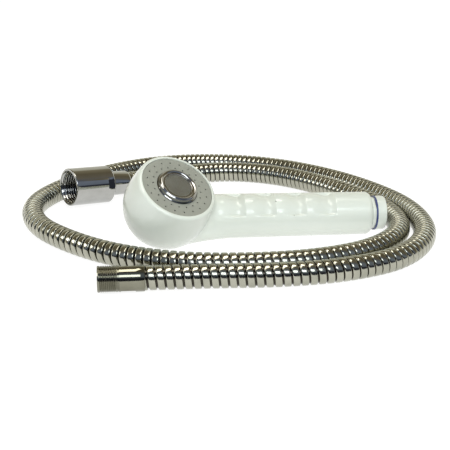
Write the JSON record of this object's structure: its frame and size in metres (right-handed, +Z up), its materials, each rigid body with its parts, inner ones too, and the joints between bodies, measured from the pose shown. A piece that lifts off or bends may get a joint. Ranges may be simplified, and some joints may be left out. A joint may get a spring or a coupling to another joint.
{
  "type": "hand spray and hose set",
  "caption": "White hand spray with a round face plate and a push-in aerator, lying beside its coiled stainless hose with a swivel nut and a threaded end.",
  "frame": {"origin": "under the centre of the hand spray's bounding box, on the surface that the set lies on", "axes": "+Z up, +X along the hand spray's handle from its head to its tail, -Y towards the side that the spray face looks to"},
  "size_m": [0.2576, 0.2224, 0.0548],
  "materials": {
    "white_plastic": "glossy white moulded plastic",
    "grey_plastic": "matte grey moulded plastic",
    "inner_plastic": "plain light moulded plastic",
    "chrome": "polished chrome",
    "nickel": "bright nickel plate",
    "stainless": "polished stainless strip",
    "spring_steel": "drawn spring wire",
    "screen_steel": "fine woven steel mesh",
    "brass": "turned brass",
    "black_rubber": "black rubber",
    "blue_ring": "dark blue moulded plastic",
    "liner_plastic": "white flexible tube",
    "strainer_plastic": "white moulded plastic"
  },
  "bodies": {
    "hose": {"hose_armour": "stainless", "hose_liner": "liner_plastic", "nut_ferrule": "chrome", "nut_tail": "brass", "nut_thrust_ring": "inner_plastic", "nut_washer": "black_rubber", "male_fitting": "nickel", "male_tail": "brass", "male_o_ring": "black_rubber"},
    "nut": {"swivel_nut": "chrome"},
    "handset": {"handset_shell": "white_plastic", "face_plate": "grey_plastic", "spray_chamber": "inner_plastic", "chamber_seal": "black_rubber", "waterway_elbow": "inner_plastic", "waterway_tube": "inner_plastic", "waterway_o_rings": "black_rubber", "inlet_spigot": "white_plastic", "tail_collar": "white_plastic", "tail_ring": "blue_ring", "check_valve_housing": "inner_plastic", "check_valve_spring": "spring_steel", "inlet_strainer": "strainer_plastic", "diverter_spring": "spring_steel"},
    "aerator": {"aerator_housing": "chrome", "aerator_washer": "black_rubber", "aerator_core": "inner_plastic", "aerator_screen": "screen_steel", "diverter_spool": "brass", "diverter_seal": "black_rubber"},
    "check_valve": {"check_valve_poppet": "inner_plastic"}
  },
  "joints": [
    {"name": "handset_lift", "type": "slide", "parent": "hose", "child": "handset", "axis": [0, 0, 1], "range_m": [0, 0.12]},
    {"name": "aerator_push", "type": "slide", "parent": "handset", "child": "aerator", "axis": [-0.336, 0.4692, -0.8167], "range_m": [0, 0.003], "stiffness_N_per_m": 800, "springref_m": -0.004, "deforming": ["diverter_spring"]},
    {"name": "check_valve_lift", "type": "slide", "parent": "handset", "child": "check_valve", "axis": [-0.9996, 0, 0.0288], "range_m": [0, 0.0025], "stiffness_N_per_m": 60, "springref_m": -0.002, "deforming": ["check_valve_spring"]},
    {"name": "nut_turn", "type": "hinge", "parent": "hose", "child": "nut", "pos_m": [-0.10199, 0.08059, 0.01456], "axis": [-0.8763, -0.4669, 0.1186], "continuous": true}
  ]
}
